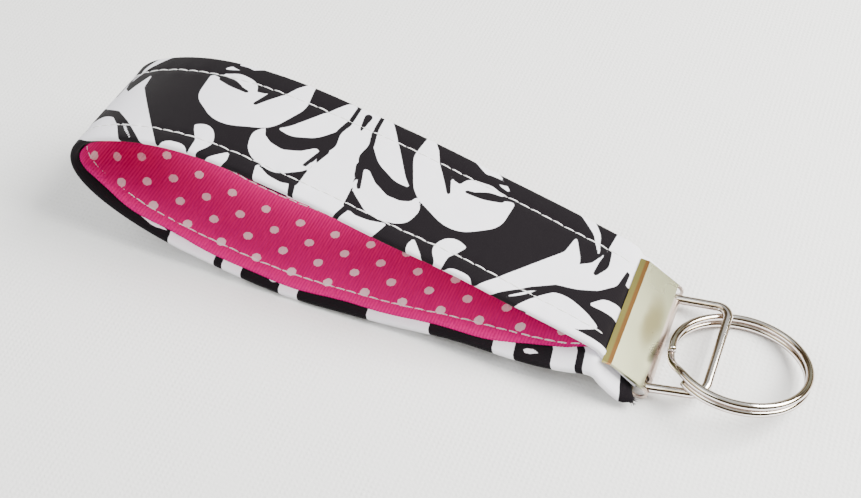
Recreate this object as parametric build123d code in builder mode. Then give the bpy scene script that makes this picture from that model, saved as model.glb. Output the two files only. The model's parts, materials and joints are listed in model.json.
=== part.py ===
"""Wristlet keychain: a stiffened fabric strap folded into a wrist loop, its raw ends
held in a folded metal clamp, with a wire bail hinged in the clamp's spine and a split
ring threaded on the bail.

Frame: millimetres. X runs along the strap from the loop's fold (-X) to the ring (+X),
Y runs across the strap, Z is up. The keychain lies on its side on the plane Z = 0.
"""
import os
from math import cos, hypot, radians, sin, tan

from build123d import *

# ---------------------------------------------------------------- driving dimensions
# Where the bail's hinge axis (parallel to Y) stands, and how the clamp is pitched.
HINGE_X = 55.77
CENTRE_Y = -0.72
CLAMP_PITCH = 35.0
BAIL_PITCH = 12.4

# Clamp: one strip of sheet metal folded over the strap's ends.
CLAMP_WIDTH = 32.0
SHEET = 0.75
SPINE_RADIUS = 2.3
PLATE_LENGTH = 10.0
LIP_LENGTH = 2.1
LIP_ANGLE = 28.0
TOOTH_PITCH = 2.0
TOOTH_COUNT = 14
TOOTH_HEIGHT = 0.35
SLOT_INNER_Y = 11.8
SLOT_OUTER_Y = 15.5
SLOT_REACH = 0.6

# Bail: one bent wire.
BAIL_WIRE = 2.2
BAIL_LENGTH = 14.5
BAIL_FOOT_Y = 13.7
BAIL_CROSSBAR_Y = 13.1
BAIL_SHIFT_Y = -0.6
BAIL_END_Y = 4.0
BAIL_FOOT_BEND = 1.7
BAIL_CORNER_BEND = 3.4

# Split ring: two turns of wire with one crossover.
RING_WIRE = 1.8
RING_RADIUS = 15.5
RING_STEP = 1.86
RING_TILT = 15.3
RING_AHEAD = 19.65
RING_SHIFT_Y = -2.5
CROSSOVER_START = 196.0
CROSSOVER_END = 226.0
END_GAP = 1.5

# Strap: a fabric strip wrapped round a stiffening core, with a ribbon on the inside.
STRAP_WIDTH = 33.0
STRAP_NEAR_Y = -18.4
LEAN = 0.2
LEAN_HEIGHT = 5.0
FABRIC = 0.35
CORE = 0.85
RIBBON = 0.35
RIBBON_WIDTH = 25.4
RIBBON_INSET = 2.4
SEAM_GAP = 1.0
SEAM_INSET = 16.0
THREAD = 0.16
THREAD_WIDTH = 0.5
NEAR_ROW = 4.8
FAR_ROW = 27.2
THREAD_START = 12.7

# ---------------------------------------------------------------- derived dimensions
HINGE_Z = SPINE_RADIUS
POCKET = SPINE_RADIUS - SHEET
LIP_RUN = LIP_LENGTH * cos(radians(LIP_ANGLE))
LIP_DROP = LIP_LENGTH * sin(radians(LIP_ANGLE))
STRAP = 2 * FABRIC + CORE + RIBBON

# Distances from the strap's middle surface, positive towards the loop's inside.
OUTER_FACE = -STRAP / 2
CORE_OUTER = OUTER_FACE + FABRIC
CORE_INNER = CORE_OUTER + CORE
COVER_INNER = CORE_INNER + FABRIC
RIBBON_INNER = COVER_INNER + RIBBON


def beside_clamp(along, offset):
    """A point of the side view given in the clamp's own directions."""
    pitch = radians(CLAMP_PITCH)
    return (
        HINGE_X - along * cos(pitch) + offset * sin(pitch),
        HINGE_Z + along * sin(pitch) + offset * cos(pitch),
    )


# The strap's side view: (point, squeeze, bend radius). The squeeze is the share of the
# full thickness left where the clamp presses the strap; points outside the clamp are
# distances behind the hinge and heights.
def behind_hinge(distance, height):
    return (HINGE_X - distance, height)


STRAP_ROUTE = [
    (beside_clamp(1.9, -0.79), 0.80, 0),
    (beside_clamp(9.6, -0.79), 0.80, 1.6),
    (beside_clamp(11.6, -0.25), 0.22, 0.5),
    (beside_clamp(13.8, -1.05), 0.80, 2.0),
    (behind_hinge(19.9, 7.35), 1.0, 22.0),
    (behind_hinge(72.9, 1.16), 1.0, 60.0),
    (behind_hinge(92.9, 1.16), 1.0, 50.0),
    (behind_hinge(118.9, 5.9), 1.0, 80.0),
    (behind_hinge(139.4, 12.8), 1.0, 20.0),
    (behind_hinge(148.1, 21.5), 1.0, 6.0),
    (behind_hinge(143.2, 30.2), 1.0, 9.0),
    (behind_hinge(124.9, 35.3), 1.0, 50.0),
    (behind_hinge(97.9, 34.4), 1.0, 90.0),
    (behind_hinge(53.9, 24.6), 1.0, 90.0),
    (behind_hinge(20.9, 13.9), 1.0, 30.0),
    (beside_clamp(13.8, 1.05), 0.80, 3.0),
    (beside_clamp(11.6, 0.25), 0.22, 0.5),
    (beside_clamp(9.6, 0.79), 0.80, 1.6),
    (beside_clamp(1.9, 0.79), 0.80, 0),
]


POINTS_IN_CLAMP = 3


def heading(start, end):
    """Unit vector from start to end."""
    length = hypot(end[0] - start[0], end[1] - start[1])
    return ((end[0] - start[0]) / length, (end[1] - start[1]) / length)


def offset_route(distance, skip):
    """Corner points and bend radii of the strap's route moved sideways by distance,
    without the first and last few points that skip counts."""
    points = []
    radii = []
    last = len(STRAP_ROUTE) - 1
    for index, (point, squeeze, bend) in enumerate(STRAP_ROUTE):
        before = heading(STRAP_ROUTE[max(index - 1, 0)][0], STRAP_ROUTE[max(index, 1)][0])
        after = heading(STRAP_ROUTE[min(index, last - 1)][0], STRAP_ROUTE[min(index + 1, last)][0])
        # The loop is followed clockwise, so its inside lies to the right.
        side = (before[1] + after[1], -before[0] - after[0])
        scale = 2.0 / (side[0] ** 2 + side[1] ** 2) * distance * squeeze
        points.append((point[0] + side[0] * scale, point[1] + side[1] * scale))
        turns_inward = before[1] * after[0] - before[0] * after[1] > 0
        radii.append(bend - distance * squeeze if turns_inward else bend + distance * squeeze)
    end = len(points) - skip
    return points[skip:end], radii[skip + 1:end - 1]


def layer(distance_a, distance_b, skip=0):
    """Outline of one layer of the strap in the side view, drawn in the open sketch."""
    edge_a, radii_a = offset_route(distance_a, skip)
    edge_b, radii_b = offset_route(distance_b, skip)
    with BuildLine(Plane.XY, mode=Mode.PRIVATE) as outline:
        FilletPolyline(*edge_a, radius=radii_a)
        FilletPolyline(*edge_b, radius=radii_b)
        Line(edge_a[0], edge_b[0])
        Line(edge_a[-1], edge_b[-1])
    make_face(outline.edges())


def leaning_plane(inset):
    """The slanting plane that lies inset from the strap's near edge."""
    origin = (0, CENTRE_Y + STRAP_NEAR_Y + inset, LEAN_HEIGHT)
    return Plane(origin=origin, x_dir=(1, 0, 0), z_dir=(0, 1, -LEAN))


def trim(near_inset, far_inset):
    """Cut the open part down to the strip between two distances from the near edge."""
    split(bisect_by=leaning_plane(near_inset), keep=Keep.TOP)
    split(bisect_by=leaning_plane(far_inset), keep=Keep.BOTTOM)


SIDE = Plane(origin=(0, CENTRE_Y, 0), x_dir=(1, 0, 0), z_dir=(0, -1, 0))
WIDE = 45.0

# ---------------------------------------------------------------- stitching
# Each row runs round the loop from mouth to mouth of the clamp: a needle thread on the
# damask side and a bobbin thread on the ribbon side, both pulled down flush.
THREAD_ENDS = Plane(origin=(HINGE_X - THREAD_START, 0, 0), z_dir=(-1, 0, 0))


def thread_row(name, distance_a, distance_b, row):
    with BuildPart() as thread:
        with BuildSketch(SIDE):
            layer(distance_a, distance_b, skip=POINTS_IN_CLAMP)
        extrude(amount=WIDE, both=True)
        trim(row - THREAD_WIDTH / 2, row + THREAD_WIDTH / 2)
        split(bisect_by=THREAD_ENDS, keep=Keep.TOP)
    thread.part.label = name
    return thread


needle_inner = OUTER_FACE + THREAD
bobbin_outer = RIBBON_INNER - THREAD
needle_threads = [
    thread_row("needle_thread_near", OUTER_FACE, needle_inner, NEAR_ROW),
    thread_row("needle_thread_far", OUTER_FACE, needle_inner, FAR_ROW),
]
bobbin_threads = [
    thread_row("bobbin_thread_near", bobbin_outer, RIBBON_INNER, NEAR_ROW),
    thread_row("bobbin_thread_far", bobbin_outer, RIBBON_INNER, FAR_ROW),
]

# ---------------------------------------------------------------- strap
with BuildPart() as interfacing_core:
    with BuildSketch(SIDE):
        layer(CORE_OUTER, CORE_INNER)
    extrude(amount=WIDE, both=True)
    trim(FABRIC, STRAP_WIDTH - FABRIC)
interfacing_core.part.label = "interfacing_core"

# The fabric's raw edges meet under the ribbon, so that side has an open seam.
with BuildPart() as seam_space:
    with BuildSketch(SIDE):
        layer(CORE_INNER, COVER_INNER)
    extrude(amount=WIDE, both=True)
    trim(SEAM_INSET, SEAM_INSET + SEAM_GAP)

with BuildPart() as fabric_cover:
    with BuildSketch(SIDE):
        layer(OUTER_FACE, COVER_INNER)
    extrude(amount=WIDE, both=True)
    trim(0, STRAP_WIDTH)
    add(interfacing_core.part, mode=Mode.SUBTRACT)
    add(seam_space.part, mode=Mode.SUBTRACT)
    for thread in needle_threads:
        add(thread.part, mode=Mode.SUBTRACT)
fabric_cover.part.label = "fabric_cover"

with BuildPart() as ribbon:
    with BuildSketch(SIDE):
        layer(COVER_INNER, RIBBON_INNER)
    extrude(amount=WIDE, both=True)
    trim(RIBBON_INSET, RIBBON_INSET + RIBBON_WIDTH)
    for thread in bobbin_threads:
        add(thread.part, mode=Mode.SUBTRACT)
ribbon.part.label = "ribbon"

# ---------------------------------------------------------------- clamp
pitch = radians(CLAMP_PITCH)
CLAMP_SIDE = Plane(
    origin=(HINGE_X, CENTRE_Y, HINGE_Z),
    x_dir=(-cos(pitch), 0, sin(pitch)),
    z_dir=(0, 1, 0),
)
LIP_TURN = tan(radians(LIP_ANGLE) / 2)
inner_crease = (PLATE_LENGTH - SHEET * LIP_TURN, POCKET)
inner_tip = (inner_crease[0] + LIP_RUN, POCKET - LIP_DROP)
outer_tip = (
    inner_tip[0] + SHEET * sin(radians(LIP_ANGLE)),
    inner_tip[1] + SHEET * cos(radians(LIP_ANGLE)),
)

with BuildPart() as clamp:
    with BuildSketch(CLAMP_SIDE):
        with BuildLine():
            outside = Polyline(outer_tip, (PLATE_LENGTH, SPINE_RADIUS), (0, SPINE_RADIUS))
            ThreePointArc((0, SPINE_RADIUS), (-SPINE_RADIUS, 0), (0, -SPINE_RADIUS))
            mirror(outside, about=Plane.XZ)
            inside = Polyline(inner_tip, inner_crease, (0, POCKET))
            ThreePointArc((0, POCKET), (-POCKET, 0), (0, -POCKET))
            mirror(inside, about=Plane.XZ)
            edge = Line(outer_tip, inner_tip)
            mirror(edge, about=Plane.XZ)
        make_face()
    extrude(amount=CLAMP_WIDTH / 2, both=True)
    # Slots through the spine for the bail's two legs.
    for side in (-1, 1):
        with BuildSketch(CLAMP_SIDE.offset(side * SLOT_INNER_Y)):
            with Locations((SLOT_REACH, 0)):
                Rectangle(2 * SPINE_RADIUS, 3 * SPINE_RADIUS, align=(Align.MAX, Align.CENTER))
        extrude(amount=side * (SLOT_OUTER_Y - SLOT_INNER_Y), mode=Mode.SUBTRACT)
    # Small teeth on both lips, which bite into the strap.
    for face in (-1, 1):
        tip_plane = Plane(
            origin=CLAMP_SIDE.from_local_coords((inner_tip[0], face * (inner_tip[1] + 0.05), 0)),
            x_dir=(0, 1, 0),
            z_dir=CLAMP_SIDE.y_dir * -face,
        )
        with BuildSketch(tip_plane):
            with GridLocations(TOOTH_PITCH, 1, TOOTH_COUNT, 1):
                Rectangle(0.9, 0.5)
        extrude(amount=TOOTH_HEIGHT, taper=30)
clamp.part.label = "clamp"

# ---------------------------------------------------------------- bail
rise = radians(BAIL_PITCH)
BAIL_PLANE = Plane(
    origin=(HINGE_X, CENTRE_Y + BAIL_SHIFT_Y, HINGE_Z),
    x_dir=(cos(rise), 0, sin(rise)),
    z_dir=(-sin(rise), 0, cos(rise)),
)
with BuildPart() as bail:
    with BuildLine(BAIL_PLANE) as bail_path:
        FilletPolyline(
            (0, -BAIL_END_Y),
            (0, -BAIL_FOOT_Y),
            (BAIL_LENGTH, -BAIL_CROSSBAR_Y),
            (BAIL_LENGTH, BAIL_CROSSBAR_Y),
            (0, BAIL_FOOT_Y),
            (0, BAIL_END_Y),
            radius=[BAIL_FOOT_BEND, BAIL_CORNER_BEND, BAIL_CORNER_BEND, BAIL_FOOT_BEND],
        )
    with BuildSketch(Plane(origin=bail_path.line @ 0, z_dir=bail_path.line % 0)):
        Circle(BAIL_WIRE / 2)
    sweep()
bail.part.label = "bail"

# ---------------------------------------------------------------- split ring
tilt = radians(RING_TILT)
RING_Z = RING_RADIUS * sin(tilt) + RING_STEP / 2 * cos(tilt) + RING_WIRE / 2
RING_PLANE = Plane(
    origin=(HINGE_X + RING_AHEAD, CENTRE_Y + RING_SHIFT_Y, RING_Z),
    x_dir=(1, 0, 0),
    z_dir=(0, sin(tilt), cos(tilt)),
)


def on_ring(angle, level):
    turn = radians(angle)
    return RING_PLANE.from_local_coords((RING_RADIUS * cos(turn), RING_RADIUS * sin(turn), level))


def along_ring(angle):
    turn = radians(angle)
    return RING_PLANE.x_dir * -sin(turn) + RING_PLANE.y_dir * cos(turn)


with BuildPart() as split_ring:
    ring_axis = Axis(RING_PLANE.origin, RING_PLANE.z_dir)
    coil_turn = 360 - (CROSSOVER_END - CROSSOVER_START) - END_GAP
    # The lower turn starts beside the crossover and ends where the crossover begins.
    with BuildSketch(Plane(origin=on_ring(CROSSOVER_END + END_GAP, -RING_STEP / 2),
                           z_dir=along_ring(CROSSOVER_END + END_GAP))):
        Circle(RING_WIRE / 2)
    revolve(axis=ring_axis, revolution_arc=coil_turn)
    # The upper turn starts where the crossover ends.
    with BuildSketch(Plane(origin=on_ring(CROSSOVER_END, RING_STEP / 2),
                           z_dir=along_ring(CROSSOVER_END))):
        Circle(RING_WIRE / 2)
    revolve(axis=ring_axis, revolution_arc=coil_turn)
    with BuildLine() as crossover:
        Spline(
            on_ring(CROSSOVER_START, -RING_STEP / 2),
            on_ring((CROSSOVER_START + CROSSOVER_END) / 2, 0),
            on_ring(CROSSOVER_END, RING_STEP / 2),
            tangents=[along_ring(CROSSOVER_START), along_ring(CROSSOVER_END)],
        )
    with BuildSketch(Plane(origin=on_ring(CROSSOVER_START, -RING_STEP / 2),
                           z_dir=along_ring(CROSSOVER_START))):
        Circle(RING_WIRE / 2)
    sweep(path=crossover.line)
split_ring.part.label = "split_ring"

# ---------------------------------------------------------------- files
threads = [*needle_threads, *bobbin_threads]
pieces = [fabric_cover, interfacing_core, ribbon, *threads, clamp, bail, split_ring]
os.makedirs("parts", exist_ok=True)
for piece in pieces:
    export_step(piece.part, f"parts/{piece.part.label}.step")

whole = Compound(children=[piece.part for piece in pieces]).bounding_box()
print("strap thickness", STRAP, "ring centre height", round(RING_Z, 3))
print("box", whole.min, whole.max)
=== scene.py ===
"""Looks of the wristlet keychain: a printed cotton strap with a dotted ribbon lining and
two rows of topstitching, a nickel clamp, a wire bail and a split ring, on a pale floor."""
import json
import math
import random

import bmesh
import bpy
import numpy as np
from bpy.props import FloatProperty, FloatVectorProperty, PointerProperty
from mathutils import Matrix, Vector


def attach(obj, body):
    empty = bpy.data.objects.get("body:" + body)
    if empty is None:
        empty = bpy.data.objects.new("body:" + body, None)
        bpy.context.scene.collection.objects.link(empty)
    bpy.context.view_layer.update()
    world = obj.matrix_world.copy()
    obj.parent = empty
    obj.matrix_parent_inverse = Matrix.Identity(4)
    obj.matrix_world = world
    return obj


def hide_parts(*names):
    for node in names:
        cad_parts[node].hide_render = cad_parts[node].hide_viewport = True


bl_info = {
    "name": "Wristlet Keychain",
    "version": (1, 0, 0),
    "blender": (4, 5, 0),
    "location": "3D View > Sidebar > Wristlet",
    "description": "Models the cloth, stitching and hardware of a wristlet keychain",
    "category": "Object",
}

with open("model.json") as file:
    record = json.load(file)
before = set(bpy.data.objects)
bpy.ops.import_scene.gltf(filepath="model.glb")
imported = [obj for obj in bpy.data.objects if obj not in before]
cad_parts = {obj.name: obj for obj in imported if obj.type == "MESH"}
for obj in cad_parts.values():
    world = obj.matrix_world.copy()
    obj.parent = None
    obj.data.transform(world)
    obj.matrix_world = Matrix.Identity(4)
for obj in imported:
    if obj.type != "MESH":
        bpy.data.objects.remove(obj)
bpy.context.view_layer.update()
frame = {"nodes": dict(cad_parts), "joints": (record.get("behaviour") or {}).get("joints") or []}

MM = 0.001

# ---------------------------------------------------------------- the strap's line
# The hinge of the bail, the clamp's pitch and the strap's near edge set every place.
HINGE = Vector(frame["joints"][0]["pos_m"]) / MM
CLAMP_PITCH = math.radians(35.0)
PLATE_LENGTH = 10.0
LEAN = 0.2
LEAN_HEIGHT = 5.0
NEAR_EDGE = HINGE.y - 18.4
STRAP_WIDTH = 33.0
RIBBON_WIDTH = 25.4
RIBBON_INSET = 2.4

# Layers of the strap as distances from its middle surface, positive to the loop's inside.
COVER_THICKNESS = 0.30
COVER_OUTER = -0.80
COVER_INNER = 0.42
CORE_OUTER = -0.62
CORE_INNER = 0.24
RIBBON_THICKNESS = 0.26
RIBBON_LEVEL = 0.74


def beside_clamp(along, offset, squeeze):
    """A point of the strap's line in the clamp's own directions."""
    x = HINGE.x - along * math.cos(CLAMP_PITCH) + offset * math.sin(CLAMP_PITCH)
    z = HINGE.z + along * math.sin(CLAMP_PITCH) + offset * math.cos(CLAMP_PITCH)
    return (x, z, squeeze)


def behind_hinge(distance, height):
    """A point of the strap's line by its distance behind the hinge and its height."""
    return (HINGE.x - distance, height, 1.0)


STRAP_ROUTE = [
    beside_clamp(1.9, -0.79, 0.8),
    beside_clamp(9.6, -0.79, 0.8),
    beside_clamp(11.6, -0.12, 0.2),
    beside_clamp(13.8, -1.05, 0.8),
    behind_hinge(19.9, 7.35),
    behind_hinge(72.9, 1.16),
    behind_hinge(92.9, 1.16),
    behind_hinge(118.9, 5.9),
    behind_hinge(139.4, 12.8),
    behind_hinge(148.1, 21.5),
    behind_hinge(143.2, 30.2),
    behind_hinge(124.9, 35.3),
    behind_hinge(97.9, 34.4),
    behind_hinge(53.9, 24.6),
    behind_hinge(20.9, 13.9),
    beside_clamp(13.8, 1.05, 0.8),
    beside_clamp(11.6, 0.12, 0.2),
    beside_clamp(9.6, 0.79, 0.8),
    beside_clamp(1.9, 0.79, 0.8),
]


def strap_line(steps=60):
    """The strap's middle line as arc length, places (x, z), inward normals and squeeze.
    Each bend is a parabola between the middles of its two runs."""
    route = np.array(STRAP_ROUTE)
    last = len(route) - 2
    pieces = []
    for i in range(1, last + 1):
        start = route[0] if i == 1 else (route[i - 1] + route[i]) / 2
        end = route[-1] if i == last else (route[i] + route[i + 1]) / 2
        t = np.linspace(0, 1, steps, endpoint=i == last)[:, None]
        pieces.append((1 - t) ** 2 * start + 2 * t * (1 - t) * route[i] + t * t * end)
    rows = np.concatenate(pieces)
    gaps = np.hypot(*np.diff(rows[:, :2], axis=0).T)
    arc = np.concatenate([[0], np.cumsum(gaps)])
    even = np.linspace(0, arc[-1], 1600)
    x, z, squeeze = (np.interp(even, arc, rows[:, k]) for k in range(3))
    run = np.stack([np.gradient(x, even), np.gradient(z, even)], 1)
    run /= np.linalg.norm(run, axis=1)[:, None]
    return even, x, z, run[:, 1], -run[:, 0], squeeze


LINE = strap_line()
STRAP_LENGTH = float(LINE[0][-1])
# Length of strap that the clamp holds at each end.
MOUTH = 10.0
# How far each layer sits to its own side at the clamp.
UPPER_SHIFT = 2.6
LOWER_SHIFT = -0.7
# How far the lower layer droops beyond the clamp's near end, and its raw end stands out.
FLAP_DROOP = 1.7
RAW_END_REACH = 1.6
# How far the fold is pressed down on its far side.
FOLD_PRESS = 1.5


def smooth(value, low, high):
    """0 below low, 1 above high, and a smooth ramp between."""
    t = np.clip((value - low) / (high - low), 0, 1)
    return t * t * (3 - 2 * t)


def bump(value, centre, width):
    """A bell of height 1 about centre."""
    return np.exp(-(((value - centre) / width) ** 2))


def clear_of_ends(along, start, end):
    """0 nearer than start to either end of the strap, and 1 farther than end from both."""
    return smooth(along, start, end) * smooth(STRAP_LENGTH - along, start, end)


def strap_place(along, across, depth):
    """Places in metres of points given along the strap, across it from its near edge and
    deep towards the loop's inside, all in millimetres."""
    x, z, nx, nz, squeeze = (np.interp(along, LINE[0], row) for row in LINE[1:])
    # The lower layer stands out beyond the clamp's near end and droops there.
    low = smooth(along, 0, 2.5) * (1 - smooth(along, 22, 52))
    reach = 2.8 + 10.0 * smooth(along, MOUTH, MOUTH + 12)
    flap = FLAP_DROOP * low * np.clip(1 - across / reach, 0, 1) ** 1.5
    # Outside the clamp's near end nothing presses the cloth flat.
    squeeze = squeeze + (1 - squeeze) * (1 - smooth(across, 1.6, 3.2))
    # Each layer sits a little to its own side where it enters the clamp.
    side = UPPER_SHIFT * (1 - smooth(STRAP_LENGTH - along, 14, 70))
    side = side + LOWER_SHIFT * (1 - smooth(along, 16, 50))
    # The fold is pressed a little flatter on its far side.
    press = bump(along, STRAP_LENGTH - 139, 17) * smooth(across, 4, STRAP_WIDTH)
    # The whole strap rolls in slow, shallow waves.
    wave = 0.22 * np.sin(along / 11.0 + across / 23.0) + 0.12 * np.sin(along / 5.3 - across / 9.0)
    wave *= clear_of_ends(along, 20, 34)
    raw_end = (1 - smooth(along, 0, 5)) * (1 - smooth(across, 1, 3.5))
    deep = depth * squeeze + wave
    px = x + nx * deep + RAW_END_REACH * raw_end
    pz = z + nz * deep - FOLD_PRESS * press - flap
    lean = LEAN * (z - LEAN_HEIGHT)
    py = NEAR_EDGE + lean + across + side - 0.5 * flap
    return np.stack([px, py, pz], -1) * MM


# ---------------------------------------------------------------- property groups
class StrapSettings(bpy.types.PropertyGroup):
    near_row: FloatProperty(
        name="Near row", description="Near stitch row from the strap's near edge",
        default=4.8 * MM, unit="LENGTH")
    far_row: FloatProperty(
        name="Far row", description="Far stitch row from the strap's near edge",
        default=27.4 * MM, unit="LENGTH")
    stitch: FloatProperty(
        name="Stitch", description="Length of one stitch", default=3.0 * MM, unit="LENGTH")
    thread: FloatProperty(
        name="Thread", description="Radius of the thread", default=0.19 * MM, unit="LENGTH")
    rib: FloatProperty(
        name="Rib", description="Pitch of the ribbon's ribs", default=0.8 * MM, unit="LENGTH")
    ink: FloatVectorProperty(
        name="Ink", description="Dark ground of the print", default=(0.0035, 0.0022, 0.0035),
        subtype="COLOR", size=3)
    cotton: FloatVectorProperty(
        name="Cotton", description="Light motifs of the print", default=(0.86, 0.85, 0.90),
        subtype="COLOR", size=3)
    ribbon: FloatVectorProperty(
        name="Ribbon", description="Ground colour of the ribbon", default=(0.68, 0.0, 0.19),
        subtype="COLOR", size=3)
    dots: FloatVectorProperty(
        name="Dots", description="Colour of the ribbon's dots", default=(0.88, 0.68, 0.70),
        subtype="COLOR", size=3)
    thread_colour: FloatVectorProperty(
        name="Thread colour", description="Colour of the sewing thread",
        default=(0.92, 0.91, 0.90), subtype="COLOR", size=3)


class HardwareSettings(bpy.types.PropertyGroup):
    edge: FloatProperty(
        name="Edge", description="Rounding of the clamp's sheet edges", default=0.14 * MM,
        unit="LENGTH")
    clamp: FloatVectorProperty(
        name="Clamp", description="Colour of the clamp's plating", default=(0.34, 0.345, 0.22),
        subtype="COLOR", size=3)
    wire: FloatVectorProperty(
        name="Wire", description="Colour of the bail's and ring's plating",
        default=(0.86, 0.80, 0.75), subtype="COLOR", size=3)


class StageSettings(bpy.types.PropertyGroup):
    floor: FloatVectorProperty(
        name="Floor", description="Colour of the floor", default=(0.88, 0.88, 0.86),
        subtype="COLOR", size=3)
    key: FloatProperty(
        name="Key", description="Power of the main soft light", default=17.0, unit="POWER")
    fill: FloatProperty(
        name="Fill", description="Power of the fill light", default=4.6, unit="POWER")
    lens: FloatProperty(
        name="Lens", description="Focal length of the camera in millimetres", default=50.17)


# ---------------------------------------------------------------- mesh helpers
def finish_piece(name, mesh, material, body, slot, *nodes):
    """Link a finished mesh, give it its material and body, and hide what it stands for."""
    piece = bpy.data.objects.new(name, mesh)
    bpy.context.scene.collection.objects.link(piece)
    mesh.materials.append(material)
    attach(piece, body)
    if nodes:
        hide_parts(*nodes)
    return piece


def to_mesh(work, name):
    """Turn a bmesh into a mesh and let the bmesh go."""
    mesh = bpy.data.meshes.new(name)
    work.to_mesh(mesh)
    work.free()
    return mesh


def read_points(mesh):
    """A mesh's points as an array."""
    points = np.empty(len(mesh.vertices) * 3, np.float32)
    mesh.vertices.foreach_get("co", points)
    return points.reshape(-1, 3).astype(float)


def cut_cloth(name, cells_along, cells_across):
    """A flat rectangle of cloth as a grid, with its points from 0 to 1 both ways."""
    cloth = bmesh.new()
    bmesh.ops.create_grid(cloth, x_segments=cells_along, y_segments=cells_across, size=0.5)
    mesh = to_mesh(cloth, name)
    return mesh, read_points(mesh)[:, :2] + 0.5


def lay_cloth(mesh, places, flat):
    """Put the cloth's points in place and keep their flat places, in metres, as its UV map."""
    mesh.vertices.foreach_set("co", places.astype(np.float32).ravel())
    corners = np.empty(len(mesh.loops), np.int32)
    mesh.loops.foreach_get("vertex_index", corners)
    layer = mesh.uv_layers.new(name="cloth")
    layer.data.foreach_set("uv", flat[corners].astype(np.float32).ravel())
    mesh.update()
    mesh.shade_smooth()


def thicken(piece, thickness, offset=0.0):
    """Give a sheet its thickness about its surface."""
    solid = piece.modifiers.new("thickness", "SOLIDIFY")
    solid.thickness = thickness
    solid.offset = offset
    return solid


def merged_copy(node, name, flat_angle):
    """A copy of a CAD node's mesh with its loose triangles merged into one skin."""
    skin = bmesh.new()
    skin.from_mesh(frame["nodes"][node].data)
    bmesh.ops.remove_doubles(skin, verts=skin.verts, dist=0.002 * MM)
    if flat_angle:
        bmesh.ops.dissolve_limit(skin, angle_limit=flat_angle, verts=skin.verts, edges=skin.edges)
    mesh = to_mesh(skin, name)
    mesh.shade_smooth()
    mesh.set_sharp_from_angle(angle=math.radians(38))
    return mesh


# ---------------------------------------------------------------- material helpers
class Shader:
    """A material's node tree, built a few nodes at a time."""

    def __init__(self, name, **sockets):
        self.material = bpy.data.materials.new(name)
        self.material.use_nodes = True
        self.tree = self.material.node_tree
        self.surface = self.tree.nodes["Principled BSDF"]
        for socket, value in sockets.items():
            self.surface.inputs[socket.replace("_", " ")].default_value = value

    def node(self, kind, inputs=(), **settings):
        """Add a node; inputs are (socket, value or output) pairs."""
        made = self.tree.nodes.new(kind)
        for key, value in settings.items():
            setattr(made, key, value)
        for socket, value in inputs:
            if isinstance(value, bpy.types.NodeSocket):
                self.tree.links.new(value, made.inputs[socket])
            else:
                made.inputs[socket].default_value = value
        return made

    def math(self, operation, first, second=0.0, third=0.0):
        """One math node's output."""
        inputs = ((0, first), (1, second), (2, third))
        return self.node("ShaderNodeMath", inputs, operation=operation).outputs[0]

    def mix(self, factor, first, second, blend="MIX"):
        """A blend of two colours."""
        made = self.node("ShaderNodeMix", data_type="RGBA", blend_type=blend)
        for index, value in ((0, factor), (6, first), (7, second)):
            if isinstance(value, bpy.types.NodeSocket):
                self.tree.links.new(value, made.inputs[index])
            else:
                made.inputs[index].default_value = value
        return made.outputs[2]

    def noise(self, vector, scale, detail=2.0, roughness=0.5):
        """A noise texture's value."""
        inputs = (("Vector", vector), ("Scale", scale), ("Detail", detail), ("Roughness", roughness))
        return self.node("ShaderNodeTexNoise", inputs).outputs["Fac"]

    def ramp(self, value, low, high, to_low=0.0, to_high=1.0):
        """A smooth step of a value between two limits."""
        inputs = ((0, value), (1, low), (2, high), (3, to_low), (4, to_high))
        made = self.node("ShaderNodeMapRange", inputs, interpolation_type="SMOOTHSTEP")
        return made.outputs[0]

    def bump(self, height, distance, strength=1.0, normal=None):
        """A bump's normal."""
        inputs = [("Height", height), ("Distance", distance), ("Strength", strength)]
        if normal is not None:
            inputs.append(("Normal", normal))
        return self.node("ShaderNodeBump", inputs).outputs["Normal"]

    def wave(self, vector, axis, pitch):
        """A sine from 0 to 1 with the given pitch along one axis of a coordinate."""
        parts = self.node("ShaderNodeSeparateXYZ", ((0, vector),))
        turn = self.math("MULTIPLY", parts.outputs[axis], 2 * math.pi / pitch)
        return self.math("MULTIPLY_ADD", self.math("SINE", turn), 0.5, 0.5)

    def link(self, output, socket):
        self.tree.links.new(output, self.surface.inputs[socket])


def colour(value):
    return (*value, 1.0)


def fill_ramp(stops, bands):
    """Set a colour ramp's stops to a list of (place, colour)."""
    stops[0].position, stops[0].color = bands[0][0], colour(bands[0][1])
    stops[1].position, stops[1].color = bands[-1][0], colour(bands[-1][1])
    for position, tint in bands[1:-1]:
        stops.new(position).color = colour(tint)


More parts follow.
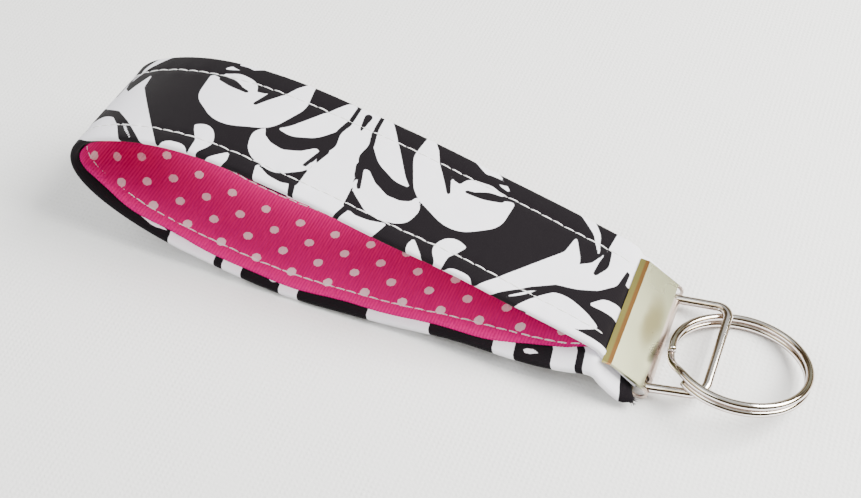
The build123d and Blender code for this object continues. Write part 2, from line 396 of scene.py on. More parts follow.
# ---------------------------------------------------------------- the print
# Brush strokes of the scroll print, each a list of (from the mirror line, across the
# strap, half width) in millimetres. The print repeats by mirrors every half repeat.
MIRROR = 84.1
HALF_REPEAT = 75.0
LIGHT_STROKES = [
    # trunk on the mirror line and its shoulders
    [(0, -8, 5.0), (0, 0, 6.0), (0, 8, 5.6), (0, 15, 3.6)],
    [(0, 15, 3.2), (1.5, 20, 3.0), (0, 26, 2.6), (0, 33, 3.0), (0, 40, 4.0)],
    [(4, 1, 3.0), (9, -1, 3.2), (13.5, 0.5, 2.2), (16.5, 4, 0.3)],
    [(3, -4, 3.0), (9, -7, 3.0), (15, -8, 2.0), (20, -6, 0.4)],
    # leaf curling from the trunk, with a petal above it
    [(6.5, 15, 0.8), (8.0, 10.5, 3.0), (13, 7.6, 3.6), (18, 8.6, 3.2), (20.5, 12, 1.6),
     (20, 14.5, 0.3)],
    [(4.5, 31, 2.0), (6.5, 26, 3.2), (10.0, 21, 3.0), (14, 17.5, 1.6), (17, 16.5, 0.2)],
    # the great crescent and the curl inside it
    [(16, 33.5, 0.6), (18.0, 26, 3.6), (23, 19.6, 5.6), (30, 17.4, 6.4), (36, 20, 4.6),
     (40.5, 26, 0.6)],
    [(28, 22, 1.4), (30, 26, 1.9), (34, 27.5, 1.2), (38, 27.4, 0.3)],
    [(22, 40, 2.0), (28, 35.5, 2.2), (34, 31.6, 1.5), (38.5, 29.4, 0.3)],
    [(10, 37, 2.4), (15, 39, 2.2), (21, 42, 1.6)],
    # sprig at the near edge
    [(30, -7, 0.9), (31.5, -3, 0.9), (31.6, 1, 1.0), (30.6, 4.4, 2.2), (32.4, 7.2, 2.3),
     (35.2, 8.2, 0.3)],
    [(24, 3.6, 0.3), (24.6, 1.2, 1.5), (27, -1.6, 1.6), (29, -5, 0.4)],
    [(32.2, -2.6, 0.6), (35.0, -0.2, 1.6), (38.4, 0.0, 1.5), (40.6, -1.4, 0.3)],
    # scroll branch that climbs to the far edge
    [(37, -7, 0.5), (41, -2.4, 1.3), (46, 3.0, 1.9), (51, 8.4, 2.6), (56, 13.4, 3.6), (58.6, 19, 2.3),
     (57.8, 25, 0.3)],
    [(56, 13, 3.2), (61, 14.6, 3.2), (66.5, 18.6, 3.8), (69.5, 25, 3.9), (71, 32, 4.6), (73, 39, 5)],
    [(70, 23, 3.2), (75, 27, 4.6)],
    [(64, 24.4, 0.3), (62, 29.5, 0.9), (58, 33, 1.4), (53, 37, 1.8), (48, 42, 1.0)],
    # broad leaf below the branch and a small one beside it
    [(49.6, 0.4, 1.2), (55.5, 3.2, 3.4), (61, 4.4, 4.3), (65.8, 4.9, 2.7), (69.8, 5.4, 0.4)],
    [(67, 10.2, 0.4), (70.2, 12.0, 1.7), (74.5, 12.8, 2.0)],
    [(60, -8, 2.6), (68, -9, 2.4), (75, -7, 1.6)],
]
DARK_STROKES = [
    # outlines of the leaves and the branch beside the clamp
    [(46.5, -3, 1.2), (49.5, -0.4, 1.4), (52.2, 2.6, 0.8), (54.6, 5.6, 0.7), (58, 8.9, 0.7),
     (62.7, 10.1, 0.8), (66.1, 9.2, 0.8), (70.2, 7.6, 0.9), (75, 7.4, 1.0)],
    [(64.2, 10.6, 0.7), (68.3, 14.6, 0.8), (71.6, 18.4, 0.9), (72.2, 24.4, 0.5)],
    [(65.4, 0.0, 0.6), (68.6, 2.6, 1.1), (72.5, 3.4, 2.0), (75, 3.4, 2.0)],
    # veins of the trunk, and lines inside the crescent and the branch
    [(3.0, 36, 0.5), (3.2, 28, 0.6), (4.4, 22.5, 0.7), (3.6, 18.5, 0.7), (5.4, 14.5, 0.6),
     (7.0, 9.5, 0.5)],
    [(5.4, -1.5, 0.6), (7.0, 3.4, 0.8), (7.6, 5.8, 0.5)],
    [(0, 31, 1.0), (0, 26, 0.3)],
    [(20.6, 31, 1.6), (22.4, 27.4, 1.5), (24.6, 23.2, 0.8), (26, 20.4, 0.5)],
    [(25, 27.2, 0.8), (28.6, 28.6, 1.1), (33, 30.4, 1.1), (37, 31.0, 0.6)],
    [(29.5, 23.4, 0.5), (34, 24.4, 0.9), (38, 25.6, 0.6)],
    [(66.4, 27, 0.5), (66.2, 22.4, 1.3), (65, 18.4, 0.5)],
    [(-2, 12, 0.7), (-1, 7, 0.5), (-1.5, 3, 0.2)],
]


def stroke_distance(x, y, stroke):
    """Distance from points to a brush stroke's outline, negative inside it."""
    knots = np.array(stroke, float)
    spread = np.concatenate([[0], np.cumsum(np.hypot(*np.diff(knots[:, :2], axis=0).T))])
    count = max(int(spread[-1] / 0.35), 2)
    at = np.linspace(0, spread[-1], count)
    line = [np.interp(at, spread, knots[:, k]) for k in range(3)]
    window = np.hanning(max(3, min(count // 3, 13)) | 1)
    window /= window.sum()
    half = len(window) // 2
    rounded = [np.convolve(np.pad(row, half, mode="edge"), window, "valid") for row in line]
    nearest = np.full(x.shape, 1e3)
    for cx, cy, radius in zip(*rounded):
        nearest = np.minimum(nearest, np.hypot(x - cx, y - cy) - radius)
    return nearest


# Where the print is dark along the lower layer's near edge, as runs along the strap.
DARK_RUNS = [(-9, 2.5), (12.4, 14.2), (19.9, 29.0), (34.3, 50.6), (66.7, 85.5), (90.6, 101.2),
             (106.5, 108.8), (121.9, 170)]
LIGHT_SLIVERS = [
    [(122.5, -3.4, 0.2), (127.5, -3.0, 1.0), (132.5, -3.2, 0.3)],
    [(91.5, -3.2, 0.3), (94.0, -2.7, 0.6)],
    [(24.0, -3.4, 0.5), (27.0, -2.6, 0.7)],
]


def edge_level(along, across):
    """The print along the lower layer's near edge: how far inside its light part, negative
    where it is dark."""
    slant = along + 0.30 * across + 0.25 * np.sin(across * 1.1)
    level = np.full(along.shape, 2.0)
    for start, end in DARK_RUNS:
        level = np.minimum(level, np.maximum(start - slant, slant - end))
    for sliver in LIGHT_SLIVERS:
        level = np.maximum(level, -stroke_distance(along, across, sliver))
    return level


def print_level(along, across):
    """How far inside the light motifs each point of the cloth is, in millimetres."""
    from_mirror = (STRAP_LENGTH - along - MIRROR + HALF_REPEAT) % (2 * HALF_REPEAT) - HALF_REPEAT
    x = np.abs(from_mirror)
    y = across + 0.35 * np.sin(from_mirror / 7.0)
    light = np.full(x.shape, 1e3)
    for stroke in LIGHT_STROKES:
        light = np.minimum(light, stroke_distance(x, y, stroke))
    dark = np.full(x.shape, 1e3)
    for stroke in DARK_STROKES:
        dark = np.minimum(dark, stroke_distance(x, y, stroke))
    level = -np.maximum(light, -dark)
    edge = (along < STRAP_LENGTH / 2) & (across < 3.6 + 1.3 * np.sin(along / 4.3))
    level = np.where(edge, edge_level(along, across), level)
    # Beside the clamp the upper layer's near edge is all light.
    level = np.maximum(level, np.minimum(along - STRAP_LENGTH + 30, 1.7 - across))
    return np.clip(level, -2, 2)


# ---------------------------------------------------------------- the strap's cloth
def seam_rows(along, settings):
    """The two stitch rows' places across the strap; the near one wanders inwards below."""
    low = 1 - smooth(along, STRAP_LENGTH / 2 - 14, STRAP_LENGTH / 2 + 14)
    wander = low * (1.0 + 0.25 * bump(along, 88, 26)) + 0.12 * np.sin(along / 13.0)
    return settings.near_row / MM + wander, settings.far_row / MM + 0.15 * np.sin(along / 17.0)


def stitch_dent(along, across, settings):
    """How deep the stitching pulls the cloth down, in millimetres."""
    holes = 0.5 + 0.5 * np.cos(2 * np.pi * along / (settings.stitch / MM))
    dent = np.zeros(np.shape(along))
    for number, row in enumerate(seam_rows(along, settings)):
        dent += (0.15 + 0.07 * holes) * bump(across, row, 0.9)
        dent += 0.05 * np.sin(2 * np.pi * along / 5.7 + number) * bump(across, row, 3.2)
    return dent * clear_of_ends(along, MOUTH, MOUTH + 5)


def cotton_print(settings):
    """Printed plain-weave cotton."""
    cloth = Shader("printed_cotton", Roughness=0.9, Sheen_Weight=0.06, Sheen_Roughness=0.5,
                   Specular_IOR_Level=0.12)
    uv = cloth.node("ShaderNodeUVMap", uv_map="cloth").outputs[0]
    level = cloth.node("ShaderNodeAttribute", attribute_name="print_level").outputs["Fac"]
    weft = cloth.wave(uv, 0, 0.00034)
    warp = cloth.wave(uv, 1, 0.00034)
    weave = cloth.math("MULTIPLY", warp, weft)
    ragged = cloth.math("MULTIPLY_ADD", cloth.noise(uv, 2600, 3), 0.16, -0.08)
    inked = cloth.ramp(cloth.math("ADD", level, ragged), -0.07, 0.07)
    mottle = cloth.noise(uv, 160, 4, 0.6)
    lint = cloth.ramp(cloth.noise(uv, 1500, 5, 0.7), 0.60, 0.78)
    worn = cloth.mix(cloth.math("MULTIPLY", lint, 0.14), colour(settings.ink), (0.09, 0.08, 0.09, 1))
    worn = cloth.mix(cloth.math("MULTIPLY", weave, 0.35), worn, (0.013, 0.010, 0.012, 1))
    shade = cloth.math("MULTIPLY_ADD", mottle, 0.10, 0.93)
    light = cloth.mix(1.0, colour(settings.cotton), shade, blend="MULTIPLY")
    ground = cloth.mix(cloth.math("MULTIPLY", weave, 0.12), light, (0.62, 0.62, 0.67, 1))
    cloth.link(cloth.mix(inked, worn, ground), "Base Color")
    fine = cloth.math("ADD", weave, cloth.math("MULTIPLY", mottle, 1.4))
    cloth.link(cloth.bump(fine, 0.00005, 0.7), "Normal")
    return cloth.material


def wrap_cover(flat):
    """Fold the flat strip's width round the core: places across the strap and depth."""
    radius = (COVER_INNER - COVER_OUTER) / 2
    middle = (COVER_INNER + COVER_OUTER) / 2
    edge = COVER_THICKNESS / 2
    under = STRAP_WIDTH / 2 - edge - radius - 0.4
    turn = math.pi * radius
    outer = STRAP_WIDTH - 2 * (edge + radius)
    marks = np.cumsum([0, under, turn, outer, turn, under])
    # Most of the cells lie on the outer face, where the print shows.
    shares = np.array([0, 9, 15, 77, 83, 92]) / 92
    cut = np.interp(flat, shares, marks)
    near, far = edge + radius, STRAP_WIDTH - edge - radius
    across = np.interp(cut, marks, [near + under, near, near, far, far, far - under])
    depth = np.full(cut.shape, COVER_INNER)
    first = (cut > marks[1]) & (cut < marks[2])
    angle = (cut[first] - marks[1]) / radius
    across[first] = near - radius * np.sin(angle)
    depth[first] = middle + radius * np.cos(angle)
    second = (cut > marks[3]) & (cut < marks[4])
    angle = (cut[second] - marks[3]) / radius
    across[second] = far + radius * np.sin(angle)
    depth[second] = middle - radius * np.cos(angle)
    depth[(cut >= marks[2]) & (cut <= marks[3])] = COVER_OUTER
    # Cloth places across the strap run on past its edges, for the print.
    unrolled = cut - marks[2] + near
    return cut, across, depth, unrolled, marks[-1]


class KEYCHAIN_OT_cover(bpy.types.Operator):
    """Wrap the printed cotton strip round the strap's core"""
    bl_idname = "keychain.cover"
    bl_label = "Fabric Cover"

    def execute(self, context):
        settings = context.scene.strap_settings
        mesh, flat = cut_cloth("cover", 505, 92)
        along = flat[:, 0] * STRAP_LENGTH
        cut, across, depth, unrolled, cut_width = wrap_cover(flat[:, 1])
        outside = depth < 0
        dent = stitch_dent(along, across, settings)
        # The filled strap is fuller between its seams than along its edges.
        full = 0.10 * bump(across, STRAP_WIDTH / 2, 9) + 0.07 * bump(across, 1.8, 1.6)
        full += 0.07 * bump(across, STRAP_WIDTH - 2.4, 2)
        full *= clear_of_ends(along, MOUTH, MOUTH + 6)
        depth = depth + np.where(outside, dent - full, -dent)
        lay_cloth(mesh, strap_place(along, across, depth), np.stack([along, cut], 1) * MM)
        level = mesh.attributes.new("print_level", "FLOAT", "POINT")
        level.data.foreach_set("value", print_level(along, unrolled).astype(np.float32))
        mesh.flip_normals()
        piece = finish_piece("cotton_cover", mesh, cotton_print(settings), "strap",
                             "cover_fabric", "fabric_cover")
        thicken(piece, COVER_THICKNESS * MM)
        return {"FINISHED"}


class KEYCHAIN_OT_core(bpy.types.Operator):
    """Cut the stiffening fleece inside the cover"""
    bl_idname = "keychain.core"
    bl_label = "Interfacing Core"

    def execute(self, context):
        mesh, flat = cut_cloth("core", 320, 24)
        width = STRAP_WIDTH - 1.5
        along = 0.25 + flat[:, 0] * (STRAP_LENGTH - 0.5)
        across = 0.75 + flat[:, 1] * width
        level = (CORE_OUTER + CORE_INNER) / 2
        lay_cloth(mesh, strap_place(along, across, level), np.stack([along, across], 1) * MM)
        fleece = Shader("interfacing_fleece", Roughness=0.95, Sheen_Weight=0.2)
        uv = fleece.node("ShaderNodeUVMap", uv_map="cloth").outputs[0]
        fibres = fleece.noise(uv, 1800, 5, 0.7)
        fleece.link(fleece.mix(fibres, (0.72, 0.71, 0.69, 1), (0.9, 0.89, 0.87, 1)), "Base Color")
        fleece.link(fleece.bump(fibres, 0.0001), "Normal")
        piece = finish_piece("fleece_core", mesh, fleece.material, "strap", "core_fleece",
                             "interfacing_core")
        thicken(piece, 0.5 * MM)
        return {"FINISHED"}


# The dots stand in four staggered rows.
DOT_ROWS_START = 4.3
DOT_ROW_STEP = 4.95
DOT_PITCH = 10.0
DOT_RADIUS = 1.2
DOT_PHASE = 0.4
DOT_BLUR = 0.1
DOT_ROWS = 4


def ribbon_cloth(settings):
    """Ribbed ribbon with printed dots."""
    cloth = Shader("dotted_grosgrain", Roughness=0.75, Specular_IOR_Level=0.08)
    uv = cloth.node("ShaderNodeUVMap", uv_map="cloth").outputs[0]
    parts = cloth.node("ShaderNodeSeparateXYZ", ((0, uv),))
    row = cloth.math("DIVIDE", cloth.math("SUBTRACT", parts.outputs[1], DOT_ROWS_START * MM),
                     DOT_ROW_STEP * MM)
    number = cloth.math("ROUND", row)
    inside = cloth.math("MULTIPLY", cloth.math("GREATER_THAN", number, -0.5),
                        cloth.math("LESS_THAN", number, DOT_ROWS - 0.5))
    aside = cloth.math("MULTIPLY", cloth.math("SUBTRACT", row, number), DOT_ROW_STEP)
    stagger = cloth.math("MULTIPLY", cloth.math("MODULO", number, 2.0), DOT_PITCH / 2)
    run = cloth.math("SUBTRACT", cloth.math("DIVIDE", parts.outputs[0], MM), stagger)
    step = cloth.math("DIVIDE", cloth.math("SUBTRACT", run, DOT_PHASE), DOT_PITCH)
    ahead = cloth.math("MULTIPLY", cloth.math("SUBTRACT", step, cloth.math("ROUND", step)), DOT_PITCH)
    square = cloth.math("ADD", cloth.math("MULTIPLY", aside, aside),
                        cloth.math("MULTIPLY", ahead, ahead))
    ragged = cloth.math("MULTIPLY_ADD", cloth.noise(uv, 1400, 2), 0.36, -0.18)
    reach = cloth.math("ADD", cloth.math("SQRT", square), ragged)
    disc = cloth.ramp(reach, DOT_RADIUS - DOT_BLUR, DOT_RADIUS + DOT_BLUR, 1.0, 0.0)
    dot = cloth.math("MULTIPLY", disc, inside)
    rib = cloth.wave(uv, 0, settings.rib)
    fine = cloth.wave(uv, 1, 0.00022)
    fibres = cloth.noise(uv, 1600, 4, 0.65)
    deep = tuple(0.52 * c for c in settings.ribbon)
    ground = cloth.mix(cloth.math("MULTIPLY", rib, 0.55), colour(settings.ribbon), colour(deep))
    ground = cloth.mix(cloth.math("MULTIPLY", fibres, 0.22), ground, (0.80, 0.0, 0.25, 1))
    ink = cloth.mix(cloth.math("MULTIPLY", rib, 0.30), colour(settings.dots), (0.80, 0.50, 0.55, 1))
    cloth.link(cloth.mix(dot, ground, ink), "Base Color")
    height = cloth.math("ADD", cloth.math("MULTIPLY", fine, 0.5), fibres)
    cloth.link(cloth.bump(height, 0.00004, 0.8), "Normal")
    return cloth.material


class KEYCHAIN_OT_ribbon(bpy.types.Operator):
    """Lay the ribbed, dotted ribbon along the inside of the loop"""
    bl_idname = "keychain.ribbon"
    bl_label = "Ribbon"

    def execute(self, context):
        settings = context.scene.strap_settings
        mesh, flat = cut_cloth("ribbon", 1600, 14)
        along = flat[:, 0] * STRAP_LENGTH
        own = flat[:, 1] * RIBBON_WIDTH
        # Its edges stray a little from a straight line, most of all inside the fold.
        fold = bump(along, STRAP_LENGTH / 2, 26)
        stray = (0.16 + 0.30 * fold) * np.sin(along / 3.7) + 0.18 * np.sin(along / 8.9)
        drawn_in = 2.8 * (1 - smooth(along, 15, 40)) * (1 - flat[:, 1])
        across = RIBBON_INSET + own + drawn_in + stray * (1 - flat[:, 1]) ** 3
        ribs = 0.075 * np.cos(2 * np.pi * along / (settings.rib / MM))
        lip = 0.35 * fold * (1 - flat[:, 1]) ** 6 * (1 + np.sin(along / 3.1))
        free = clear_of_ends(along, MOUTH, MOUTH + 5)
        depth = RIBBON_LEVEL + (ribs + lip) * free - stitch_dent(along, across, settings)
        lay_cloth(mesh, strap_place(along, across, depth), np.stack([along, own], 1) * MM)
        piece = finish_piece("dotted_ribbon", mesh, ribbon_cloth(settings), "strap",
                             "ribbon_fabric", "ribbon")
        thicken(piece, RIBBON_THICKNESS * MM)
        return {"FINISHED"}


# ---------------------------------------------------------------- stitching
def thread_template(segments, cuts):
    """A short closed tube of thread along Z, from -0.5 to 0.5 and of radius 1."""
    tube = bmesh.new()
    bmesh.ops.create_cone(tube, cap_ends=True, segments=segments, radius1=1, radius2=1, depth=1)
    sides = [e for e in tube.edges if abs(e.verts[0].co.z - e.verts[1].co.z) > 0.5]
    bmesh.ops.subdivide_edges(tube, edges=sides, cuts=cuts)
    return to_mesh(tube, "thread_template")


def thread_material(name, tint):
    """Twisted sewing thread."""
    yarn = Shader(name, Roughness=0.6, Sheen_Weight=0.3, Specular_IOR_Level=0.4)
    place = yarn.node("ShaderNodeTexCoord").outputs["Object"]
    fibres = yarn.noise(place, 2500, 3, 0.6)
    yarn.link(yarn.mix(fibres, colour(tuple(0.78 * c for c in tint)), colour(tint)), "Base Color")
    yarn.link(yarn.bump(fibres, 0.00005), "Normal")
    return yarn.material


def sew_row(name, settings, material, number, side):
    """One row of stitches on one side of the strap: number is 0 for the near row and 1 for
    the far one, side is -1 outside and 1 inside."""
    pitch = settings.stitch / MM
    radius = settings.thread / MM
    level = COVER_OUTER - COVER_THICKNESS / 2 if side < 0 else RIBBON_LEVEL + RIBBON_THICKNESS / 2
    template = thread_template(6, 5)
    count = len(template.vertices)
    shape = read_points(template)
    sewn = bmesh.new()
    draw = random.Random(10 * number + side)
    at = math.ceil((MOUTH + 1.2) / pitch) * pitch
    while at + pitch < STRAP_LENGTH - MOUTH - 1.0:
        sewn.from_mesh(template)
        sewn.verts.ensure_lookup_table()
        skew = draw.uniform(-0.10, 0.10)
        size = draw.uniform(0.92, 1.08)
        t = shape[:, 2]
        arch = 1 - (2 * t) ** 4
        along = at + pitch / 2 + t * pitch * 0.94
        row = seam_rows(along, settings)[number]
        across = row + shape[:, 0] * radius * size * (0.62 + 0.38 * arch) + skew * 2 * t
        dent = stitch_dent(along, row, settings)
        rise = radius * (-0.55 + 0.85 * arch) + shape[:, 1] * radius * size
        depth = level - side * dent + side * rise
        places = strap_place(along, across, depth)
        for vertex, place in zip(sewn.verts[-count:], places):
            vertex.co = place
        at += pitch
    bmesh.ops.recalc_face_normals(sewn, faces=sewn.faces)
    mesh = to_mesh(sewn, name)
    mesh.shade_smooth()
    bpy.data.meshes.remove(template)
    return finish_piece(name + "_stitches", mesh, material, "strap", "thread", name)


class KEYCHAIN_OT_stitching(bpy.types.Operator):
    """Sew the two rows of topstitching, needle thread outside and bobbin thread inside"""
    bl_idname = "keychain.stitching"
    bl_label = "Topstitching"

    def execute(self, context):
        settings = context.scene.strap_settings
        material = thread_material("sewing_thread", tuple(settings.thread_colour))
        sew_row("needle_thread_near", settings, material, 0, -1)
        sew_row("needle_thread_far", settings, material, 1, -1)
        sew_row("bobbin_thread_near", settings, material, 0, 1)
        sew_row("bobbin_thread_far", settings, material, 1, 1)
        return {"FINISHED"}


FRAYED_YARNS = 46
FRAYED_YARN_RADIUS = 0.075


class KEYCHAIN_OT_frayed_ends(bpy.types.Operator):
    """Fray a few yarns out of the strap's cut ends beside the clamp"""
    bl_idname = "keychain.frayed_ends"
    bl_label = "Frayed Ends"

    def execute(self, context):
        draw = random.Random(7)
        template = thread_template(5, 4)
        shape = read_points(template)
        frayed = bmesh.new()
        for strand in range(FRAYED_YARNS):
            frayed.from_mesh(template)
            frayed.verts.ensure_lookup_table()
            lower = strand % 3 != 0
            across = draw.uniform(0.15, 2.0)
            root = strap_place(np.array([0.35 if lower else STRAP_LENGTH - 0.35]),
                               np.array([across]), np.array([draw.uniform(-0.8, 0.5)]))[0]
            length = draw.uniform(0.5, 1.6) * MM
            heading = Vector((draw.uniform(0.5, 1.0), draw.uniform(-0.9, 0.1),
                              draw.uniform(-0.75, 0.1)))
            heading.normalize()
            side = heading.orthogonal().normalized()
            other = heading.cross(side)
            curl = draw.uniform(-0.25, 0.25)
            for vertex, (x, y, z) in zip(frayed.verts[-len(shape):], shape):
                t = z + 0.5
                thin = FRAYED_YARN_RADIUS * MM * (1 - 0.6 * t)
                bend = side * (curl * length * t * t)
                vertex.co = Vector(root) + heading * (length * t) + bend + (side * x + other * y) * thin
        bmesh.ops.recalc_face_normals(frayed, faces=frayed.faces)
        mesh = to_mesh(frayed, "frayed_ends")
        mesh.shade_smooth()
        bpy.data.meshes.remove(template)
        material = thread_material("frayed_yarn", (0.03, 0.024, 0.03))
        finish_piece("frayed_ends", mesh, material, "strap", "cover_fabric")
        return {"FINISHED"}


# ---------------------------------------------------------------- hardware
def clamp_plating(settings):
    """Satin nickel plate, pale on the plates, with painted reflections: one soft darker patch painted
    on the plates, a coppery then an olive band painted on the turned-in lips, and a rosy painted
    highlight round the spine."""
    metal = Shader("satin_nickel", Metallic=1.0)
    place = metal.node("ShaderNodeTexCoord").outputs["Object"]
    lay = (-math.cos(CLAMP_PITCH), 0, math.sin(CLAMP_PITCH))
    foot = lay[0] * HINGE.x + lay[2] * HINGE.z
    dot = metal.node("ShaderNodeVectorMath", ((0, place), (1, lay)), operation="DOT_PRODUCT")
    along = metal.math("SUBTRACT", metal.math("DIVIDE", dot.outputs["Value"], MM), foot)
    parts = metal.node("ShaderNodeSeparateXYZ", ((0, place),))
    across = metal.math("SUBTRACT", metal.math("DIVIDE", parts.outputs[1], MM), HINGE.y)
    blotch = metal.noise(place, 90, 2, 0.5)
    # Painted reflection: one soft darker patch on the plates, with a wavering edge.
    waver = metal.math("MULTIPLY_ADD", blotch, 5.0, -2.5)
    patch_x = metal.math("DIVIDE", metal.math("SUBTRACT", metal.math("ADD", along, waver), 3.6), 3.4)
    patch_y = metal.math("DIVIDE", metal.math("SUBTRACT", metal.math("ADD", across, waver), 1.0), 8.5)
    spread = metal.math("ADD", metal.math("MULTIPLY", patch_x, patch_x),
                        metal.math("MULTIPLY", patch_y, patch_y))
    patch = metal.ramp(spread, 0.0, 1.3, 0.75, 0.0)
    plate = metal.mix(patch, colour(settings.clamp), (0.14, 0.115, 0.045, 1))
    # Painted highlight: a rosy lighter band round the rounded spine.
    spine = metal.ramp(along, 0.1, 0.9, 1.0, 0.0)
    plate = metal.mix(spine, plate, (0.62, 0.53, 0.47, 1))
    # Painted reflections on the turned-in lips: a coppery band, then an olive one beyond it.
    lip = metal.ramp(along, PLATE_LENGTH - 0.05, PLATE_LENGTH + 0.1)
    olive_reflection_band = metal.ramp(along, PLATE_LENGTH + 0.7, PLATE_LENGTH + 1.1)
    lip_painted_reflection = metal.mix(olive_reflection_band, (0.34, 0.17, 0.06, 1), (0.36, 0.32, 0.10, 1))
    metal.link(metal.mix(lip, plate, lip_painted_reflection), "Base Color")
    metal.link(metal.math("MULTIPLY_ADD", blotch, 0.10, 0.24), "Roughness")
    return metal.material


# Colours painted on the wires' plating by how far the surface faces up at rest, from 0 facing down
# to 1 facing up: painted reflections, light and dark bands that stand in for the room's reflections.
WIRE_PAINTED_REFLECTIONS = [
    (0.00, (0.20, 0.13, 0.10)), (0.38, (0.50, 0.40, 0.34)), (0.50, (0.13, 0.05, 0.04)),
    (0.60, (0.90, 0.84, 0.82)), (0.72, (0.97, 0.96, 0.96)), (0.79, (0.15, 0.08, 0.04)),
    (0.90, (0.24, 0.18, 0.08)), (0.97, (0.85, 0.82, 0.76)),
]


def wire_plating(settings, name, roughness):
    """Bright nickel plate on drawn wire, with its painted reflection bands."""
    metal = Shader(name, Metallic=1.0)
    place = metal.node("ShaderNodeTexCoord").outputs["Object"]
    marks = metal.noise(place, 1500, 5, 0.7)
    blotch = metal.noise(place, 160, 2, 0.5)
    upward = metal.node("ShaderNodeAttribute", attribute_name="upward").outputs["Fac"]
    level = metal.math("ADD", upward, metal.math("MULTIPLY_ADD", blotch, 0.16, -0.08))
    # Painted reflections: light and dark bands by how far the surface faces up at rest, wavering a
    # little.
    ramp = metal.node("ShaderNodeValToRGB", ((0, level),))
    fill_ramp(ramp.color_ramp.elements, WIRE_PAINTED_REFLECTIONS)
    metal.link(metal.mix(0.9, colour(settings.wire), ramp.outputs[0]), "Base Color")
    metal.link(metal.math("MULTIPLY_ADD", marks, 0.10, roughness), "Roughness")
    return metal.material


def mark_upward(mesh):
    """Keep how far each point of a wire faces up, from 0 below to 1 above."""
    facing = np.empty(len(mesh.vertices) * 3, np.float32)
    mesh.vertex_normals.foreach_get("vector", facing)
    layer = mesh.attributes.new("upward", "FLOAT", "POINT")
    layer.data.foreach_set("value", facing[2::3] * 0.5 + 0.5)


class KEYCHAIN_OT_clamp(bpy.types.Operator):
    """Round the sheet edges of the folded clamp and plate it"""
    bl_idname = "keychain.clamp"
    bl_label = "Clamp"

    def execute(self, context):
        settings = context.scene.hardware_settings
        mesh = merged_copy("clamp", "clamp_shell", math.radians(0.5))
        piece = finish_piece("clamp_shell", mesh, clamp_plating(settings), "strap",
                             "clamp_plate", "clamp")
        rounding = piece.modifiers.new("rounding", "BEVEL")
        rounding.width = settings.edge
        rounding.segments = 3
        rounding.limit_method = "ANGLE"
        rounding.angle_limit = math.radians(24)
        rounding.use_clamp_overlap = True
        rounding.harden_normals = True
        return {"FINISHED"}


class KEYCHAIN_OT_bail(bpy.types.Operator):
    """Plate the bent wire bail"""
    bl_idname = "keychain.bail"
    bl_label = "Bail"

    def execute(self, context):
        settings = context.scene.hardware_settings
        mesh = merged_copy("bail", "bail_wire", 0)
        mark_upward(mesh)
        finish_piece("bail_wire", mesh, wire_plating(settings, "bail_nickel", 0.08), "bail",
                     "bail_wire", "bail")
        return {"FINISHED"}


class KEYCHAIN_OT_split_ring(bpy.types.Operator):
    """Plate the two-turn split ring"""
    bl_idname = "keychain.split_ring"
    bl_label = "Split Ring"

    def execute(self, context):
        settings = context.scene.hardware_settings
        mesh = merged_copy("split_ring", "ring_coil", 0)
        mark_upward(mesh)
        finish_piece("ring_coil", mesh, wire_plating(settings, "ring_nickel", 0.07), "ring",
                     "ring_wire", "split_ring")
        return {"FINISHED"}


# ---------------------------------------------------------------- stage
CAMERA_TARGET = Vector((HINGE.x - 61.03, HINGE.y + 8.475, 0)) * MM
CAMERA_DISTANCE = 304.88 * MM
CAMERA_AZIMUTH = math.radians(24.12)
CAMERA_ELEVATION = math.radians(49.5)
CAMERA_ROLL = math.radians(-2.39)


def look_from(azimuth, elevation, roll=0.0):
    """Right, up and back directions of a view."""
    back = Vector((math.sin(azimuth) * math.cos(elevation), -math.cos(azimuth) * math.cos(elevation),
                   math.sin(elevation)))
    right = Vector((math.cos(azimuth), math.sin(azimuth), 0))
    up = back.cross(right)
    turned = right * math.cos(roll) + up * math.sin(roll)
    return turned, back.cross(turned), back


def soft_light(name, power, size, place, target, tint):
    """A square soft light aimed at a point."""
    light = bpy.data.lights.new(name, "AREA")
    light.energy = power
    light.size = size
    light.color = tint
    lamp = bpy.data.objects.new(name, light)
    lamp.location = place
    lamp.rotation_euler = (Vector(place) - Vector(target)).to_track_quat("Z", "Y").to_euler()
    bpy.context.scene.collection.objects.link(lamp)
    return lamp


# Colours of the room from straight ahead to straight up: pale above, with warm dark bands
# lower down for the metal to mirror.
ROOM_BANDS = [
    (0.0, (0.50, 0.34, 0.22)), (0.10, (0.10, 0.045, 0.02)), (0.22, (0.22, 0.17, 0.09)),
    (0.34, (0.58, 0.58, 0.46)), (0.46, (0.10, 0.05, 0.025)), (0.62, (0.16, 0.10, 0.05)),
    (0.70, (0.80, 0.80, 0.80)), (1.0, (1.0, 1.0, 1.0)),
]
ROOM_STRENGTH = 0.8


def studio_world():
    """A banded room behind and above the floor."""
    world = bpy.data.worlds.new("studio")
    world.use_nodes = True
    tree = world.node_tree
    place = tree.nodes.new("ShaderNodeTexCoord")
    parts = tree.nodes.new("ShaderNodeSeparateXYZ")
    ramp = tree.nodes.new("ShaderNodeValToRGB")
    tree.links.new(place.outputs["Generated"], parts.inputs[0])
    tree.links.new(parts.outputs[2], ramp.inputs[0])
    tree.links.new(ramp.outputs[0], tree.nodes["Background"].inputs[0])
    fill_ramp(ramp.color_ramp.elements, ROOM_BANDS)
    tree.nodes["Background"].inputs[1].default_value = ROOM_STRENGTH
    bpy.context.scene.world = world


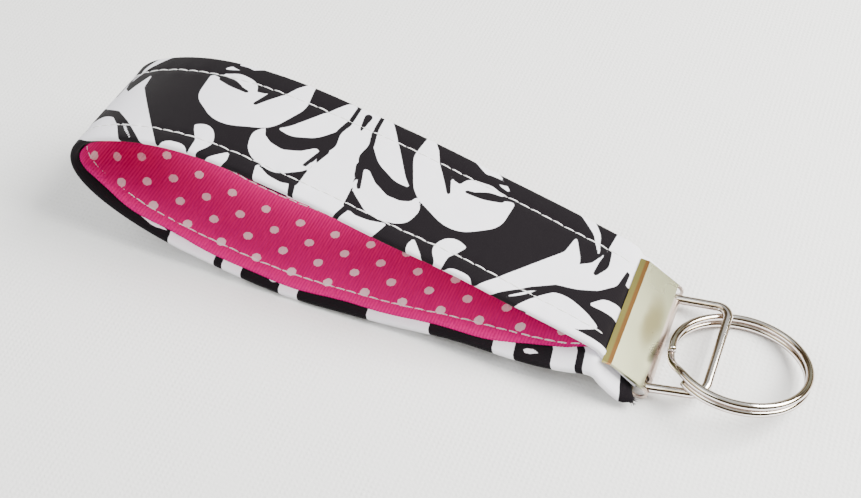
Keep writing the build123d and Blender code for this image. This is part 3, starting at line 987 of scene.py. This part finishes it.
class KEYCHAIN_OT_stage(bpy.types.Operator):
    """Set the floor, the soft lights and the camera"""
    bl_idname = "keychain.stage"
    bl_label = "Stage"

    def execute(self, context):
        settings = context.scene.stage_settings
        ground = bmesh.new()
        bmesh.ops.create_grid(ground, x_segments=1, y_segments=1, size=1.5)
        mesh = to_mesh(ground, "floor")
        paper = Shader("floor_canvas", Roughness=0.9, Specular_IOR_Level=0.2)
        place = paper.node("ShaderNodeTexCoord").outputs["Object"]
        grain = paper.noise(place, 900, 4, 0.6)
        paper.surface.inputs["Base Color"].default_value = colour(settings.floor)
        weave = paper.math("MULTIPLY", paper.wave(place, 0, 0.0012), paper.wave(place, 1, 0.0012))
        uneven = paper.math("MULTIPLY", weave, paper.noise(place, 60, 2))
        paper.link(paper.bump(paper.math("ADD", grain, uneven), 0.00025, 0.6), "Normal")
        mesh.materials.append(paper.material)
        floor = bpy.data.objects.new("floor", mesh)
        context.scene.collection.objects.link(floor)

        studio_world()
        soft_light("key", settings.key, 0.46, (0.46, 0.16, 0.48), (0, 0, 0.01), (1.0, 0.99, 0.97))
        soft_light("fill", settings.fill, 0.60, (-0.42, -0.22, 0.50), (0, 0, 0.01), (0.95, 0.97, 1.0))

        camera = bpy.data.cameras.new("camera")
        camera.sensor_width = 36.0
        camera.lens = settings.lens
        camera.clip_start = 0.01
        camera.clip_end = 10.0
        view = bpy.data.objects.new("camera", camera)
        context.scene.collection.objects.link(view)
        right, up, back = look_from(CAMERA_AZIMUTH, CAMERA_ELEVATION, CAMERA_ROLL)
        turn = Matrix((right, up, back)).transposed().to_4x4()
        view.matrix_world = Matrix.Translation(CAMERA_TARGET + back * CAMERA_DISTANCE) @ turn
        context.scene.camera = view
        return {"FINISHED"}


# ---------------------------------------------------------------- panel and running
OPERATORS = (
    KEYCHAIN_OT_stage,
    KEYCHAIN_OT_cover,
    KEYCHAIN_OT_core,
    KEYCHAIN_OT_ribbon,
    KEYCHAIN_OT_stitching,
    KEYCHAIN_OT_frayed_ends,
    KEYCHAIN_OT_clamp,
    KEYCHAIN_OT_bail,
    KEYCHAIN_OT_split_ring,
)


class KEYCHAIN_PT_panel(bpy.types.Panel):
    """Settings and steps of the wristlet keychain"""
    bl_idname = "KEYCHAIN_PT_panel"
    bl_label = "Wristlet Keychain"
    bl_space_type = "VIEW_3D"
    bl_region_type = "UI"
    bl_category = "Wristlet"

    def draw(self, context):
        scene = context.scene
        for settings in (scene.strap_settings, scene.hardware_settings, scene.stage_settings):
            box = self.layout.box()
            for name in settings.__annotations__:
                box.prop(settings, name)
        for operator in OPERATORS:
            self.layout.operator(operator.bl_idname)


SETTINGS = (
    ("strap_settings", StrapSettings),
    ("hardware_settings", HardwareSettings),
    ("stage_settings", StageSettings),
)


def register():
    for name, group in SETTINGS:
        bpy.utils.register_class(group)
        setattr(bpy.types.Scene, name, PointerProperty(type=group))
    for cls in (*OPERATORS, KEYCHAIN_PT_panel):
        bpy.utils.register_class(cls)


def unregister():
    for cls in (KEYCHAIN_PT_panel, *reversed(OPERATORS)):
        bpy.utils.unregister_class(cls)
    for name, group in SETTINGS:
        delattr(bpy.types.Scene, name)
        bpy.utils.unregister_class(group)


def main():
    register()
    for operator in OPERATORS:
        group, name = operator.bl_idname.split(".")
        getattr(getattr(bpy.ops, group), name)()


if __name__ == "__main__":
    main()
